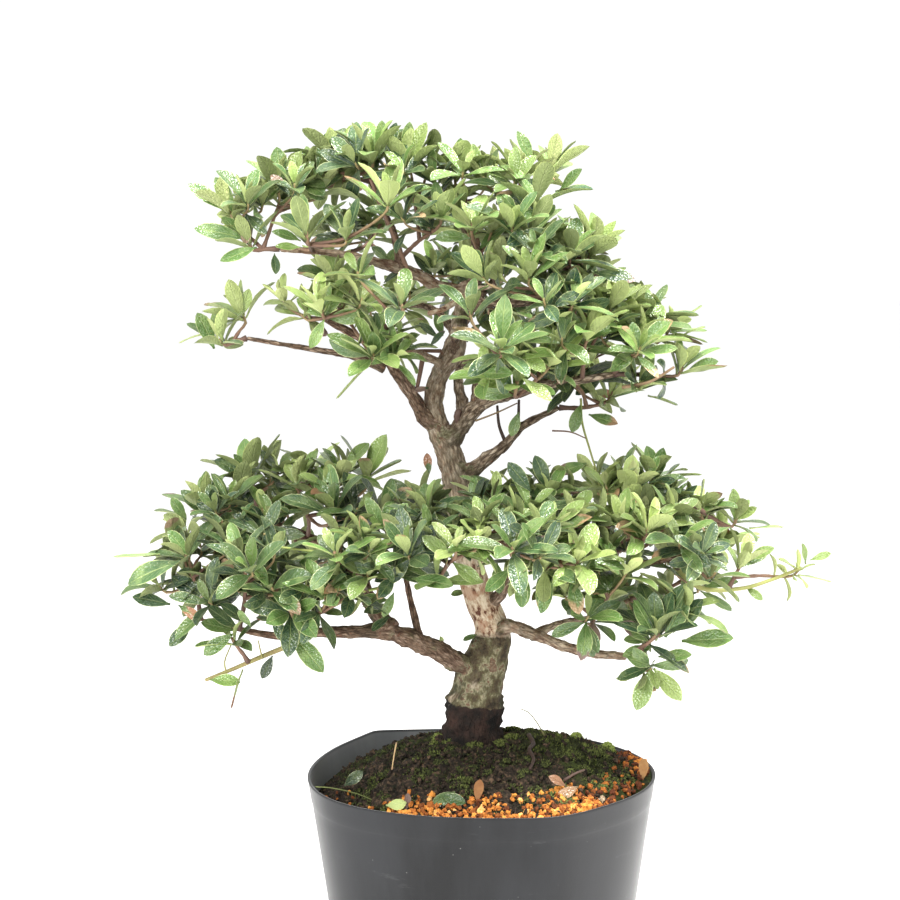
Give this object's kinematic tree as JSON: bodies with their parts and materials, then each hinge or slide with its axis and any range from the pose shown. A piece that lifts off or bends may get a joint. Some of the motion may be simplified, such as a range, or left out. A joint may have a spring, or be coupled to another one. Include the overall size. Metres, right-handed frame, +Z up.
{
  "type": "bonsai azalea in a pot",
  "caption": "Small satsuki azalea bonsai with a thick curved trunk, two tiers of leafy shoots, mossy soil and a round soft plastic nursery pot.",
  "frame": {"origin": "middle of the pot's foot, in the plane that the pot stands on", "axes": "+Z straight up along the tree, -Y towards the tree's front, +X to the right as seen from the front"},
  "size_m": [0.3558, 0.2465, 0.4761],
  "materials": {
    "pot": "soft matte, slightly worn",
    "soil": "damp, dark and crumbly",
    "moss": "soft and matte",
    "grit": "dry baked clay granules",
    "bark": "rough bark with lichen",
    "leaf": "waxy above, matte below",
    "young_leaf": "soft satin",
    "dead_leaf": "dry and matte"
  },
  "bodies": {
    "root": {"fallen_leaf_dead": "dead_leaf", "fallen_leaf_green": "young_leaf", "fallen_leaf_tan": "dead_leaf", "grit": "grit", "moss": "moss", "pot": "pot", "shoot_low_far_1": "leaf", "shoot_low_far_2": "leaf", "shoot_low_far_3": "leaf", "shoot_low_far_4": "leaf", "shoot_low_left_1": "leaf", "shoot_low_left_10": "leaf", "shoot_low_left_11": "leaf", "shoot_low_left_12": "leaf", "shoot_low_left_2": "leaf", "shoot_low_left_3": "leaf", "shoot_low_left_4": "leaf", "shoot_low_left_5": "leaf", "shoot_low_left_6": "leaf", "shoot_low_left_7": "leaf", "shoot_low_left_8": "leaf", "shoot_low_left_9": "leaf", "shoot_low_near_1": "leaf", "shoot_low_near_2": "leaf", "shoot_low_near_3": "leaf", "shoot_low_near_4": "leaf", "shoot_low_right_1": "leaf", "shoot_low_right_2": "leaf", "shoot_low_right_3": "leaf", "shoot_low_right_4": "leaf", "shoot_low_right_5": "leaf", "shoot_low_right_6": "leaf", "shoot_low_right_7": "leaf", "shoot_top_far_1": "leaf", "shoot_top_far_2": "leaf", "shoot_top_far_3": "leaf", "shoot_top_far_4": "leaf", "shoot_top_far_5": "leaf", "shoot_top_far_6": "leaf", "shoot_top_left_1": "leaf", "shoot_top_left_2": "leaf", "shoot_top_left_3": "leaf", "shoot_top_left_4": "leaf", "shoot_top_left_5": "leaf", "shoot_top_left_6": "leaf", "shoot_top_left_7": "leaf", "shoot_top_near_1": "leaf", "shoot_top_near_2": "leaf", "shoot_top_near_3": "leaf", "shoot_top_near_4": "leaf", "shoot_top_near_5": "leaf", "shoot_top_near_6": "leaf", "shoot_top_near_7": "leaf", "shoot_top_near_8": "leaf", "shoot_top_right_1": "leaf", "shoot_top_right_2": "leaf", "shoot_top_right_3": "leaf", "shoot_top_right_4": "leaf", "soil": "soil", "wood": "bark"}
  },
  "joints": []
}
